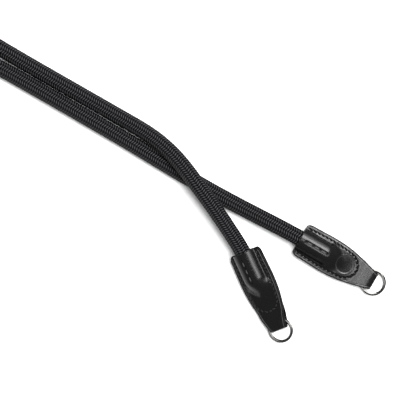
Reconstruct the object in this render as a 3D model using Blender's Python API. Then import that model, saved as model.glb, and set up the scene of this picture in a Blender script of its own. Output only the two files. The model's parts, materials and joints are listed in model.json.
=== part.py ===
"""Rope camera strap: one braided rope whose two ends are stitched into folded leather tabs,
each tab folded round a double-wound split ring. Metres, +Z up. The strap lies on a surface at z = 0.
The origin is the bottom centre of the box of the two tabs with their rings, and +X runs along the right tab."""

import math

import bpy
import numpy as np
from mathutils import Matrix, Vector

# Rope
ROPE_DIAMETER = 0.010
ROPE_IN_TAB = 0.0198
ROPE_SIDES_LEVEL = 3
ROPE_POINT_SPACING = 0.0123

# Leather
LEATHER = 0.0015
ROPE_CLEARANCE = 0.0004
SEAM_GAP = 0.0003
ROPE_RISE = 0.0025
TAB_MARGIN = 0.0037
TIP_HALF_WIDTH = 0.0055
TUNNEL_FADE = 0.0112
TUNNEL_NARROWING = 0.72
STITCHED_FLAT = 0.0066
POCKET_RISE = 0.0070
FOLD_REACH = 0.0032
UNDER_FILLET = 0.0030

# Split ring
RING_OUTER_RADIUS = 0.0082
RING_WIRE_WIDTH = 0.0016
RING_WIRE_HEIGHT = 0.00085
RING_WIRE_CHAMFER = 0.00022
RING_TURN_GAP = 0.00015
RING_CLEARANCE = 0.0003
RING_SLACK = 0.0055
RING_JOG = math.radians(26)
RING_END_GAP = math.radians(4)
RING_STEP = math.radians(8)

# How finely the tunnel is drawn, in steps of a quarter round
CREST_STEPS = 5
FILLET_STEPS = 3
FADE_ROWS = 8

# Where each tab's mouth lies, which way it points, and how it dips and rolls on the surface
RIGHT_MOUTH = (-0.0150, 0.0264)
RIGHT_HEADING = math.radians(-0.7)
RIGHT_DIP = math.radians(2.6)
RIGHT_ROLL = 0.0
LEFT_MOUTH = (-0.0411, 0.0019)
LEFT_HEADING = math.radians(-35.7)
LEFT_DIP = math.radians(4.0)
LEFT_ROLL = math.radians(25)

# How each ring lies in its loop: where its wire steps up, and how far it has slid outwards and sideways
RIGHT_RING_JOG_AT = math.radians(190)
RIGHT_RING_SHIFT = (0.0, -0.0006)
LEFT_RING_JOG_AT = math.radians(142)
LEFT_RING_SHIFT = (0.0005, 0.00035)

# Half width of a tab: share of its length from the mouth, share of the way from tip width to full width
TAB_OUTLINE = (
    (0.0, 0.64),
    (0.018, 0.79),
    (0.046, 0.89),
    (0.11, 0.925),
    (0.24, 0.966),
    (0.38, 1.0),
    (0.52, 0.941),
    (0.63, 0.815),
    (0.73, 0.622),
    (0.80, 0.479),
    (0.87, 0.303),
    (0.926, 0.168),
    (0.963, 0.067),
    (1.0, 0.0),
)

# The rope's free route between the tabs, in millimetres, from the right mouth round to the left mouth
ROUTE_MM = (
    (-26.4, 26.2, 8.05),
    (-41.4, 25.6, 7.0),
    (-58.4, 24.9, 5.5),
    (-76.4, 24.5, 5.0),
    (-104.4, 24.7, 5.0),
    (-134.4, 25.4, 5.0),
    (-166.4, 25.7, 5.0),
    (-200.4, 25.8, 5.0),
    (-232.4, 25.5, 5.0),
    (-262.4, 23.1, 5.0),
    (-290.4, 15.3, 5.0),
    (-316.4, 2.1, 5.0),
    (-341.4, -14.1, 5.0),
    (-362.4, -28.3, 5.0),
    (-386.9, -36.7, 5.0),
    (-408.9, -31.9, 5.0),
    (-424.9, -16.3, 5.0),
    (-430.9, 5.2, 5.0),
    (-424.9, 26.7, 5.0),
    (-408.9, 42.3, 5.0),
    (-385.9, 48.3, 5.0),
    (-356.4, 46.7, 5.0),
    (-314.4, 41.7, 5.0),
    (-272.4, 37.9, 5.0),
    (-232.4, 36.4, 5.0),
    (-194.4, 36.2, 5.0),
    (-168.4, 36.2, 5.0),
    (-146.4, 36.2, 5.9),
    (-128.4, 35.7, 8.6),
    (-112.4, 33.0, 12.4),
    (-98.4, 28.3, 15.0),
    (-86.4, 23.0, 15.5),
    (-74.4, 17.7, 14.6),
    (-62.4, 12.4, 13.2),
    (-50.9, 7.2, 12.05),
)


def smooth_step(x):
    x = min(max(x, 0.0), 1.0)
    return x * x * (3.0 - 2.0 * x)


# Sizes that follow from the ones above
ROPE_RADIUS = ROPE_DIAMETER / 2
TUNNEL_RADIUS = ROPE_RADIUS + ROPE_CLEARANCE + LEATHER / 2
SEAM_OFFSET = SEAM_GAP / 2 + LEATHER / 2
TOP_FILLET = ROPE_RISE - SEAM_OFFSET
TUNNEL_HALF_WIDTH = TUNNEL_RADIUS + TOP_FILLET
FULL_HALF_WIDTH = TUNNEL_HALF_WIDTH + TAB_MARGIN
RING_INNER_RADIUS = RING_OUTER_RADIUS - RING_WIRE_WIDTH
RING_HEIGHT = 2 * RING_WIRE_HEIGHT + RING_TURN_GAP
POCKET_OFFSET = RING_HEIGHT / 2 + RING_CLEARANCE + LEATHER / 2
FADE_END = ROPE_IN_TAB + ROPE_CLEARANCE + TUNNEL_FADE
POCKET_START = FADE_END + STITCHED_FLAT
POCKET_FULL = POCKET_START + POCKET_RISE
RING_CENTRE = POCKET_FULL + RING_CLEARANCE + RING_OUTER_RADIUS
FOLD_CENTRE = RING_CENTRE - RING_INNER_RADIUS + RING_SLACK - (FOLD_REACH - LEATHER / 2)
TAB_LENGTH = FOLD_CENTRE + FOLD_REACH + LEATHER / 2


def leather_material(name, colour, roughness):
    material = bpy.data.materials.new(name)
    material.use_nodes = True
    shader = material.node_tree.nodes["Principled BSDF"]
    shader.inputs["Base Color"].default_value = (*colour, 1.0)
    shader.inputs["Roughness"].default_value = roughness
    return material


def metal_material(name, colour, roughness):
    material = leather_material(name, colour, roughness)
    material.node_tree.nodes["Principled BSDF"].inputs["Metallic"].default_value = 1.0
    return material


def half_width(s):
    """Half width of the leather at s from the mouth."""
    shares, widths = zip(*TAB_OUTLINE)
    share = float(np.interp(s / TAB_LENGTH, shares, widths))
    return TIP_HALF_WIDTH + share * (FULL_HALF_WIDTH - TIP_HALF_WIDTH)


def over_profile(edge, narrow, out):
    """The upper layer from crest to edge: a half round over the rope, a fillet, then the flat margin.
    out is how far outside the leather's middle the profile lies."""
    arch = TUNNEL_RADIUS + out
    fillet = TOP_FILLET - out
    points = []
    for k in range(CREST_STEPS + 1):
        a = math.pi / 2 * k / CREST_STEPS
        points.append((narrow * arch * math.sin(a), ROPE_RISE + arch * math.cos(a)))
    for k in range(1, FILLET_STEPS + 1):
        a = math.pi / 2 * k / FILLET_STEPS
        points.append((narrow * (TUNNEL_HALF_WIDTH - fillet * math.cos(a)), ROPE_RISE - fillet * math.sin(a)))
    start = narrow * TUNNEL_HALF_WIDTH
    for share in (0.5, 1.0):
        points.append((start + share * (edge - start), SEAM_OFFSET + out))
    return points


def under_profile(edge, narrow, out):
    """The lower layer from centre to edge: a shallow trough under the rope, a fillet, then the flat margin."""
    reach = TUNNEL_RADIUS + UNDER_FILLET
    turn = math.acos((ROPE_RISE + SEAM_OFFSET + UNDER_FILLET) / reach)
    arch = TUNNEL_RADIUS + out
    fillet = UNDER_FILLET - out
    points = []
    for k in range(CREST_STEPS + 1):
        a = turn * k / CREST_STEPS
        points.append((narrow * arch * math.sin(a), ROPE_RISE - arch * math.cos(a)))
    for k in range(1, FILLET_STEPS + 1):
        a = turn * (1 - k / FILLET_STEPS)
        t = reach * math.sin(turn) - fillet * math.sin(a)
        points.append((narrow * t, fillet * math.cos(a) - UNDER_FILLET - SEAM_OFFSET))
    start = narrow * reach * math.sin(turn)
    for share in (0.5, 1.0):
        points.append((start + share * (edge - start), -SEAM_OFFSET - out))
    return points


def flat_across(edge):
    """Where the columns lie across the leather once the tunnel has faded away."""
    return [t / FULL_HALF_WIDTH * edge for t, _ in over_profile(FULL_HALF_WIDTH, 1.0, 0.0)]


def both_halves(s, half):
    """A whole row at s from its right half, mirrored across the tab's middle."""
    return [(s, -t, n) for t, n in reversed(half[1:])] + [(s, t, n) for t, n in half]


def layer_row(s, side, out):
    """One row across the tab at s from the mouth, on a face that lies out from the leather's middle."""
    edge = half_width(s)
    fade = smooth_step((s - ROPE_IN_TAB - ROPE_CLEARANCE) / TUNNEL_FADE)
    spread = smooth_step((s - FADE_END) / STITCHED_FLAT)
    pocket = smooth_step((s - POCKET_START) / POCKET_RISE)
    flat = SEAM_OFFSET + pocket * (POCKET_OFFSET - SEAM_OFFSET) + out
    narrow = 1 - TUNNEL_NARROWING * fade**1.5
    profile = over_profile(edge, narrow, out) if side > 0 else under_profile(edge, narrow, out)
    half = []
    for (t, n), even in zip(profile, flat_across(edge)):
        half.append((t + spread * (even - t), n + fade * (side * flat - n)))
    return both_halves(s, half)


def fold_row(angle, out):
    """One row round the fold at the tip, angle 0 on top and 180 degrees below."""
    middle = FOLD_CENTRE + FOLD_REACH * math.sin(angle)
    n = (POCKET_OFFSET + out) * math.cos(angle)
    return both_halves(middle + out * math.sin(angle), [(t, n) for t in flat_across(half_width(middle))])


def tab_stations():
    """Where the rows lie along one layer, from the mouth to the start of the fold."""
    mouth = [TAB_LENGTH * share for share in (0.0, 0.018, 0.046, 0.11)]
    tunnel_end = ROPE_IN_TAB + ROPE_CLEARANCE
    tunnel = list(np.linspace(mouth[-1], tunnel_end, 4)[1:])
    fade = list(np.linspace(tunnel_end, FADE_END, FADE_ROWS + 1)[1:])
    flat = list(np.linspace(FADE_END, POCKET_START, 4)[1:])
    rise = list(np.linspace(POCKET_START, POCKET_FULL, 5)[1:])
    pocket = list(np.linspace(POCKET_FULL, FOLD_CENTRE, 4)[1:])
    return mouth + tunnel + fade + flat + rise + pocket


def strip_rows(out):
    """All rows of one face of the leather, along the top, round the fold and back underneath."""
    stations = tab_stations()
    rows = [layer_row(s, 1, out) for s in stations]
    rows += [fold_row(math.radians(30 * k), out) for k in range(1, 6)]
    rows += [layer_row(s, -1, out) for s in reversed(stations)]
    return rows


def leather_tab(name, material):
    """One piece of leather from the mouth over the rope, round the ring at the tip and back under the rope."""
    outer = strip_rows(LEATHER / 2)
    inner = strip_rows(-LEATHER / 2)
    points = [point for row in outer + inner for point in row]
    count = len(outer[0])
    total = len(outer) * count
    rim = list(range(count))
    rim += [i * count + count - 1 for i in range(1, len(outer))]
    rim += [total - 1 - j for j in range(1, count)]
    rim += [total - i * count - count for i in range(1, len(outer) - 1)]
    faces = []
    for i in range(len(outer) - 1):
        for j in range(count - 1):
            a = i * count + j
            faces.append((a, a + count, a + count + 1, a + 1))
            faces.append((a + total, a + total + 1, a + total + count + 1, a + total + count))
    for a, b in zip(rim, rim[1:] + rim[:1]):
        faces.append((a, b, b + total, a + total))
    mesh = bpy.data.meshes.new(name)
    mesh.from_pydata(points, [], faces)
    mesh.shade_smooth()
    mesh.set_sharp_from_angle(angle=math.radians(50))
    mesh.materials.append(material)
    obj = bpy.data.objects.new(name, mesh)
    bpy.context.scene.collection.objects.link(obj)
    return obj


def ring_section():
    """The flat wire's outline with its corners taken off, as (outwards, up) from its middle."""
    w = RING_WIRE_WIDTH / 2
    h = RING_WIRE_HEIGHT / 2
    c = RING_WIRE_CHAMFER
    return [(w, c - h), (w, h - c), (w - c, h), (c - w, h), (-w, h - c), (-w, c - h), (c - w, -h), (w - c, -h)]


def split_ring(name, material, jog_at):
    """Flat wire wound twice, lying flat but for one step where it climbs onto its own first turn."""
    radius = RING_OUTER_RADIUS - RING_WIRE_WIDTH / 2
    half_pitch = (RING_WIRE_HEIGHT + RING_TURN_GAP) / 2
    end = 4 * math.pi - RING_JOG - RING_END_GAP
    steps = int(round(end / RING_STEP))
    angles = [end * k / steps for k in range(steps + 1)]
    points = []
    section = ring_section()
    for a in angles:
        climb = smooth_step((a - 2 * math.pi + RING_JOG) / RING_JOG)
        height = half_pitch * (2 * climb - 1)
        for out, up in section:
            r = radius + out
            points.append((r * math.cos(a + jog_at), r * math.sin(a + jog_at), height + up))
    count = len(section)
    faces = []
    for i in range(steps):
        for j in range(count):
            a = i * count + j
            b = i * count + (j + 1) % count
            faces.append((a, a + count, b + count, b))
    faces.append(tuple(range(count)))
    faces.append(tuple(reversed(range(steps * count, (steps + 1) * count))))
    mesh = bpy.data.meshes.new(name)
    mesh.from_pydata(points, [], faces)
    mesh.shade_smooth()
    mesh.set_sharp_from_angle(angle=math.radians(35))
    mesh.materials.append(material)
    obj = bpy.data.objects.new(name, mesh)
    bpy.context.scene.collection.objects.link(obj)
    return obj


def resting_height(turn, tab, ring_place):
    """How high the mouth's seam plane lies when the tab and its ring just touch the surface."""
    lowest = min((turn @ Vector(v.co)).z for v in tab.data.vertices)
    rim = min(
        (turn @ (ring_place + Vector((math.cos(a), math.sin(a), 0.0)) * RING_OUTER_RADIUS)).z
        for a in np.radians(np.arange(0, 360, 5))
    )
    return -min(lowest, rim - RING_HEIGHT / 2)


def place_tab(side, mouth, heading, dip, roll, jog_at, shift, leather, steel):
    """A tab with its ring, both children of an empty at the middle of the mouth. Returns the empty's matrix."""
    turn = Matrix.Rotation(heading, 4, "Z") @ Matrix.Rotation(dip, 4, "Y") @ Matrix.Rotation(roll, 4, "X")
    tab = leather_tab("leather_tab_" + side, leather)
    ring = split_ring("split_ring_" + side, steel, jog_at)
    ring_place = Vector((RING_CENTRE + shift[0], shift[1], 0.0))
    height = resting_height(turn, tab, ring_place)
    holder = bpy.data.objects.new("tab_frame_" + side, None)
    bpy.context.scene.collection.objects.link(holder)
    holder.matrix_world = Matrix.Translation((mouth[0], mouth[1], height)) @ turn
    tab.parent = holder
    ring.parent = holder
    ring.location = ring_place
    return holder.matrix_world.copy()


def axis_point(frame, s):
    """The rope's centre at s from the mouth, inside a tab when s is positive."""
    return frame @ Vector((s, 0.0, ROPE_RISE))


def spline(points, spacing):
    """A natural cubic curve through the points, read off at even steps of its own length."""
    knots = np.concatenate([[0.0], np.cumsum(np.linalg.norm(np.diff(points, axis=0), axis=1))])
    gaps = np.diff(knots)
    count = len(points)
    matrix = np.eye(count)
    slopes = np.zeros((count, 3))
    for i in range(1, count - 1):
        matrix[i, i - 1 : i + 2] = (gaps[i - 1], 2 * (gaps[i - 1] + gaps[i]), gaps[i])
        slopes[i] = 6 * ((points[i + 1] - points[i]) / gaps[i] - (points[i] - points[i - 1]) / gaps[i - 1])
    bend = np.linalg.solve(matrix, slopes)
    fine = []
    for i in range(count - 1):
        for u in np.linspace(0, gaps[i], 40, endpoint=False):
            v = gaps[i] - u
            fine.append(
                (bend[i] * v**3 + bend[i + 1] * u**3) / (6 * gaps[i])
                + (points[i] / gaps[i] - bend[i] * gaps[i] / 6) * v
                + (points[i + 1] / gaps[i] - bend[i + 1] * gaps[i] / 6) * u
            )
    fine.append(points[-1])
    fine = np.array(fine)
    along = np.concatenate([[0.0], np.cumsum(np.linalg.norm(np.diff(fine, axis=0), axis=1))])
    places = np.linspace(0, along[-1], int(round(along[-1] / spacing)) + 1)
    return np.stack([np.interp(places, along, fine[:, k]) for k in range(3)], axis=1)


def braided_rope(right, left, material):
    """The rope as one plain tube from inside the right tab, round the loop and into the left tab."""
    free = [np.array(p) / 1000 for p in ROUTE_MM]
    inside = (ROPE_IN_TAB, ROPE_IN_TAB / 2, 0.0)
    start = [np.array(axis_point(right, s)) for s in inside]
    end = [np.array(axis_point(left, s)) for s in reversed(inside)]
    path = spline(np.array(start + free + end), ROPE_POINT_SPACING)
    curve = bpy.data.curves.new("braided_rope", "CURVE")
    curve.dimensions = "3D"
    curve.bevel_depth = ROPE_RADIUS
    curve.bevel_resolution = ROPE_SIDES_LEVEL
    curve.use_fill_caps = True
    line = curve.splines.new("POLY")
    line.points.add(len(path) - 1)
    for point, place in zip(line.points, path):
        point.co = (*place, 1.0)
    curve.materials.append(material)
    obj = bpy.data.objects.new("braided_rope", curve)
    bpy.context.scene.collection.objects.link(obj)
    return obj


def main():
    for obj in list(bpy.data.objects):
        bpy.data.objects.remove(obj)
    leather = leather_material("black_glossy_leather", (0.012, 0.012, 0.013), 0.28)
    braid = leather_material("black_braided_sheath", (0.022, 0.022, 0.024), 0.62)
    steel = metal_material("nickel_plated_steel", (0.62, 0.61, 0.59), 0.22)
    right = place_tab(
        "right", RIGHT_MOUTH, RIGHT_HEADING, RIGHT_DIP, RIGHT_ROLL, RIGHT_RING_JOG_AT, RIGHT_RING_SHIFT, leather, steel
    )
    left = place_tab(
        "left", LEFT_MOUTH, LEFT_HEADING, LEFT_DIP, LEFT_ROLL, LEFT_RING_JOG_AT, LEFT_RING_SHIFT, leather, steel
    )
    braided_rope(right, left, braid)


main()
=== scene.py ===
import json
import math

import bpy
import numpy as np
from mathutils import Matrix, Vector

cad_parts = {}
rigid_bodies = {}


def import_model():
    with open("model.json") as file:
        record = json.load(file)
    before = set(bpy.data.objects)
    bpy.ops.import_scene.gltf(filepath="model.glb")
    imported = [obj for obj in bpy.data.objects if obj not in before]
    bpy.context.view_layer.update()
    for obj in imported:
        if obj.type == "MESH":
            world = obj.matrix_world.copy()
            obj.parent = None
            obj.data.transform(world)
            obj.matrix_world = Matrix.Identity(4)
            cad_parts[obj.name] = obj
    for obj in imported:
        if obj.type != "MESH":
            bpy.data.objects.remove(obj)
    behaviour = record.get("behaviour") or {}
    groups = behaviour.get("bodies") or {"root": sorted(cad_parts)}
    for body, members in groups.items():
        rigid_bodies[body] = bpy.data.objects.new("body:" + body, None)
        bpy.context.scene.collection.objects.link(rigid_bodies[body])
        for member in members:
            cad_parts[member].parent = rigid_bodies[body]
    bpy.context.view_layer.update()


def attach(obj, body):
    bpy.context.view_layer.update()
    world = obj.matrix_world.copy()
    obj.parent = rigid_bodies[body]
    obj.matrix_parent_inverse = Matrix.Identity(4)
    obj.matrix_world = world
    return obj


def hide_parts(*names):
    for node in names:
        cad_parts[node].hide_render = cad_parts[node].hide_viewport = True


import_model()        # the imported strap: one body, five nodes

bpy.ops.object.select_all(action="DESELECT")
print("frame loaded")


# small helpers

def smoothStep(x):
    x = np.clip(x, 0.0, 1.0)
    return x * x * (3.0 - 2.0 * x)


def bump(x, width):
    # 1 in the middle of a line or groove, falling to 0 at half its width
    return 1.0 - smoothStep(np.abs(x) / (width / 2))


def smoothCurve(x, xs, ys):
    # a cubic through the listed points, with slopes taken from their neighbours
    xs, ys = np.array(xs, float), np.array(ys, float)
    slopes = np.gradient(ys, xs)
    k = np.clip(np.searchsorted(xs, x) - 1, 0, len(xs) - 2)
    gap = xs[k + 1] - xs[k]
    u = np.clip((x - xs[k]) / gap, 0.0, 1.0)
    a = (1 + 2 * u) * (1 - u) ** 2
    b = u * (1 - u) ** 2
    return a * ys[k] + (1 - a) * ys[k + 1] + gap * (b * slopes[k] - u * u * (1 - u) * slopes[k + 1])


def pick(obj):
    bpy.ops.object.select_all(action="DESELECT")
    obj.select_set(True)
    bpy.context.view_layer.objects.active = obj


def applyModifiers(obj):
    pick(obj)
    for modifier in list(obj.modifiers):
        bpy.ops.object.modifier_apply(modifier=modifier.name)


def pointValues(mesh, name, values):
    layer = mesh.attributes.new(name, "FLOAT", "POINT")
    layer.data.foreach_set("value", np.asarray(values, np.float32))


# the camera looks straight down, as in the photograph

view = {
    "middle": (-0.0726, 0.0138),       # of the surface, under the camera
    "turn": math.radians(29.8),        # of the picture on the surface
    "height": 2.0,
    "across": 0.2625,                  # how much of the surface the picture is wide
}

bpy.ops.object.camera_add(location=(*view["middle"], view["height"]), rotation=(0, 0, view["turn"]))
camera = bpy.context.object
camera.name = "overheadCamera"
camera.data.sensor_width = 36
camera.data.lens = 36 * (view["height"] - 0.006) / view["across"]
camera.data.clip_end = 20
bpy.context.scene.camera = camera
print("camera placed")


# node helpers

def newGroup(name, inputs, outputs):
    group = bpy.data.node_groups.new(name, "ShaderNodeTree")
    for label, value in inputs.items():
        kind = "NodeSocketVector" if value is None else "NodeSocketFloat"
        socket = group.interface.new_socket(label, in_out="INPUT", socket_type=kind)
        if value is not None:
            socket.default_value = value
    for label in outputs:
        group.interface.new_socket(label, in_out="OUTPUT", socket_type="NodeSocketFloat")
    start = group.nodes.new("NodeGroupInput")
    start.location = (-900, 0)
    end = group.nodes.new("NodeGroupOutput")
    end.location = (700, 0)
    return group, start, end


def maths(tree, operation, place, a, b=None, c=None):
    node = tree.nodes.new("ShaderNodeMath")
    node.operation = operation
    node.location = place
    for socket, value in zip(node.inputs, (a, b, c)):
        if value is None:
            continue
        if isinstance(value, (int, float)):
            socket.default_value = value
        else:
            tree.links.new(value, socket)
    return node.outputs[0]


def grainGroup():
    # pores and slow hills of a surface: Height feeds a Bump node, Mottle varies roughness or colour
    group, start, end = newGroup(
        "grain",
        {
            "Vector": None, "Pore Scale": 2500.0, "Pore Depth": 0.3,
            "Hill Scale": 180.0, "Hill Depth": 1.0,
        },
        ["Height", "Mottle"],
    )
    link = group.links.new
    pores = group.nodes.new("ShaderNodeTexVoronoi")
    pores.location = (-600, 200)
    link(start.outputs["Vector"], pores.inputs["Vector"])
    link(start.outputs["Pore Scale"], pores.inputs["Scale"])
    hills = group.nodes.new("ShaderNodeTexNoise")
    hills.location = (-600, -150)
    hills.inputs["Detail"].default_value = 4.0
    link(start.outputs["Vector"], hills.inputs["Vector"])
    link(start.outputs["Hill Scale"], hills.inputs["Scale"])
    depth = start.outputs["Pore Depth"]
    poreHeight = maths(group, "MULTIPLY", (-300, 200), pores.outputs["Distance"], depth)
    depth = start.outputs["Hill Depth"]
    hillHeight = maths(group, "MULTIPLY", (-300, -150), hills.outputs["Fac"], depth)
    link(maths(group, "ADD", (0, 50), poreHeight, hillHeight), end.inputs["Height"])
    link(hills.outputs["Fac"], end.inputs["Mottle"])
    return group


def wearGroup():
    # fine scuffs and specks of dust, as two masks
    group, start, end = newGroup(
        "wear",
        {"Vector": None, "Scuff Scale": 900.0, "Dust Scale": 1500.0, "Dust Cover": 0.28},
        ["Scuffs", "Dust"],
    )
    link = group.links.new
    scuffs = group.nodes.new("ShaderNodeTexNoise")
    scuffs.location = (-600, 200)
    scuffs.inputs["Detail"].default_value = 6.0
    scuffs.inputs["Distortion"].default_value = 1.5
    link(start.outputs["Vector"], scuffs.inputs["Vector"])
    link(start.outputs["Scuff Scale"], scuffs.inputs["Scale"])
    dust = group.nodes.new("ShaderNodeTexNoise")
    dust.location = (-600, -150)
    dust.inputs["Detail"].default_value = 2.0
    link(start.outputs["Vector"], dust.inputs["Vector"])
    link(start.outputs["Dust Scale"], dust.inputs["Scale"])
    over = maths(group, "SUBTRACT", (-300, 200), scuffs.outputs["Fac"], 0.52)
    strong = maths(group, "MULTIPLY", (-100, 200), over, 6.0)
    kept = group.nodes.new("ShaderNodeClamp")
    kept.location = (100, 200)
    link(strong, kept.inputs["Value"])
    link(kept.outputs[0], end.inputs["Scuffs"])
    bare = maths(group, "SUBTRACT", (-500, -350), 1.0, start.outputs["Dust Cover"])
    fallen = maths(group, "SUBTRACT", (-300, -150), dust.outputs["Fac"], bare)
    specks = maths(group, "MULTIPLY", (-100, -150), fallen, 8.0)
    clean = group.nodes.new("ShaderNodeClamp")
    clean.location = (100, -150)
    link(specks, clean.inputs["Value"])
    link(clean.outputs[0], end.inputs["Dust"])
    return group


grain = grainGroup()
wear = wearGroup()


def newMaterial(name, colour, roughness, metallic=0.0):
    material = bpy.data.materials.new(name)
    material.use_nodes = True
    shader = material.node_tree.nodes["Principled BSDF"]
    shader.inputs["Base Color"].default_value = (*colour, 1.0)
    shader.inputs["Roughness"].default_value = roughness
    shader.inputs["Metallic"].default_value = metallic
    return material, material.node_tree, shader


def placeGroup(tree, group, place, source, **values):
    node = tree.nodes.new("ShaderNodeGroup")
    node.node_tree = group
    node.location = place
    for key, value in values.items():
        node.inputs[key].default_value = value
    tree.links.new(source, node.inputs["Vector"])
    return node


def mixColours(tree, place, factor, first, second):
    node = tree.nodes.new("ShaderNodeMix")
    node.data_type = "RGBA"
    node.location = place
    tree.links.new(factor, node.inputs["Factor"])
    for socket, value in ((node.inputs[6], first), (node.inputs[7], second)):
        if isinstance(value, tuple):
            socket.default_value = (*value, 1.0)
        else:
            tree.links.new(value, socket)
    return node.outputs[2]


def mapRange(tree, place, source, low, high, start=0.0, end=1.0):
    node = tree.nodes.new("ShaderNodeMapRange")
    node.location = place
    tree.links.new(source, node.inputs["Value"])
    node.inputs["From Min"].default_value = start
    node.inputs["From Max"].default_value = end
    node.inputs["To Min"].default_value = low
    node.inputs["To Max"].default_value = high
    return node.outputs["Result"]


def bumpOnto(tree, shader, height, strength, distance):
    node = tree.nodes.new("ShaderNodeBump")
    node.location = (-250, -300)
    node.inputs["Strength"].default_value = strength
    node.inputs["Distance"].default_value = distance
    tree.links.new(height, node.inputs["Height"])
    tree.links.new(node.outputs["Normal"], shader.inputs["Normal"])


def attributeValue(tree, name, place):
    node = tree.nodes.new("ShaderNodeAttribute")
    node.attribute_name = name
    node.location = place
    return node.outputs["Fac"]


def objectPoint(tree):
    node = tree.nodes.new("ShaderNodeTexCoord")
    node.location = (-1200, 0)
    return node.outputs["Object"]


# the finishes

sheath = {
    # the braid's colour is painted shade in the valleys and a painted highlight on the crowns
    "valleyShade": (0.0006, 0.0006, 0.0008),
    "crest": (0.064, 0.064, 0.069),
    "lint": (0.05, 0.05, 0.055),
    "lintCover": 0.20,
    "roughness": (0.42, 0.55),
    "specular": 0.12,
    "sharpness": 7.0,                  # how fast a crown's painted highlight gives way to painted shade towards its sides
    "flatness": 0.14,                  # how late a crown dives at its two ends
    "filaments": 7.0,                  # to a yarn
    "filamentHeight": 0.045,           # share of a crown's height
    "fray": (900.0, 0.35),             # how fine, and how far it pushes the filaments
    "bump": 0.00022,
}


def braidedSheath():
    # the braid map counts yarn crowns round the rope in x and along it in y
    material, tree, shader = newMaterial("braidedSheath", sheath["crest"], sheath["roughness"][0])
    shader.inputs["Specular IOR Level"].default_value = sheath["specular"]
    link = tree.links.new
    along = tree.nodes.new("ShaderNodeUVMap")
    along.uv_map = "braid"
    along.location = (-2400, -300)
    parts = tree.nodes.new("ShaderNodeSeparateXYZ")
    parts.location = (-2200, -300)
    link(along.outputs["UV"], parts.inputs[0])
    middle = maths(tree, "ADD", (-1400, -200), parts.outputs["Y"], 0.5)
    share = maths(tree, "FRACT", (-1250, -200), middle)
    side = maths(tree, "MULTIPLY_ADD", (-1100, -200), share, 2.0, -1.0)
    square = maths(tree, "MULTIPLY", (-950, -200), side, side)
    section = maths(tree, "SUBTRACT", (-800, -200), 1.0, square)
    across = maths(tree, "FRACT", (-1850, -400), parts.outputs["X"])
    turned = maths(tree, "MULTIPLY", (-1700, -400), across, math.pi)
    arch = maths(tree, "SINE", (-1550, -400), turned)
    dive = maths(tree, "POWER", (-1400, -400), arch, sheath["flatness"])
    crown = maths(tree, "MULTIPLY", (-650, -250), section, dive)
    place = objectPoint(tree)
    fray = tree.nodes.new("ShaderNodeTexNoise")
    fray.location = (-1400, -700)
    fray.inputs["Scale"].default_value = sheath["fray"][0]
    fray.inputs["Detail"].default_value = 3.0
    link(place, fray.inputs["Vector"])
    pushed = maths(tree, "MULTIPLY", (-1200, -650), fray.outputs["Fac"], sheath["fray"][1])
    line = maths(tree, "ADD", (-1050, -600), parts.outputs["Y"], pushed)
    turns = maths(tree, "MULTIPLY", (-900, -600), line, 2 * math.pi * sheath["filaments"])
    wave = maths(tree, "SINE", (-750, -600), turns)
    threads = maths(tree, "MULTIPLY", (-600, -600), wave, sheath["filamentHeight"])
    height = maths(tree, "ADD", (-450, -350), crown, threads)
    ridge = maths(tree, "POWER", (-450, 200), crown, sheath["sharpness"])
    dusty = placeGroup(tree, wear, (-900, 500), place, **{"Dust Cover": 0.30, "Scuff Scale": 400.0})
    # painted highlight on each crown's middle, painted shade towards the valleys
    colour = mixColours(tree, (-250, 300), ridge, sheath["valleyShade"], sheath["crest"])
    lint = maths(tree, "MULTIPLY", (-450, 520), dusty.outputs["Dust"], sheath["lintCover"])
    link(mixColours(tree, (-50, 300), lint, colour, sheath["lint"]), shader.inputs["Base Color"])
    gloss = mapRange(tree, (-250, 80), dusty.outputs["Scuffs"], *sheath["roughness"])
    link(gloss, shader.inputs["Roughness"])
    bumpOnto(tree, shader, height, 1.0, sheath["bump"])
    return material


leather = {
    "colour": (0.0034, 0.0034, 0.0036),
    # a painted highlight colour, for the crease line, the slot's rim and a ring round the disc
    "highlightPaint": (0.090, 0.090, 0.094),
    "lint": (0.04, 0.04, 0.042),
    "lintCover": 0.30,
    "roughness": (0.27, 0.36),
    "coat": (0.12, 0.27),              # weight, roughness
    "bump": 0.00018,
    # the edge's paint colour, also used as painted shade under the stitches, on the slot's floor and in
    # a ring round the disc
    "edgeAndShadeColour": (0.0015, 0.0015, 0.0017),
    "paintMatt": 0.35,                 # how much rougher the painted edge is
    "fibre": ((0.003, 0.003, 0.003), (0.008, 0.008, 0.0085)),
    "fibreRoughness": (0.5, 0.7),
}


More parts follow.
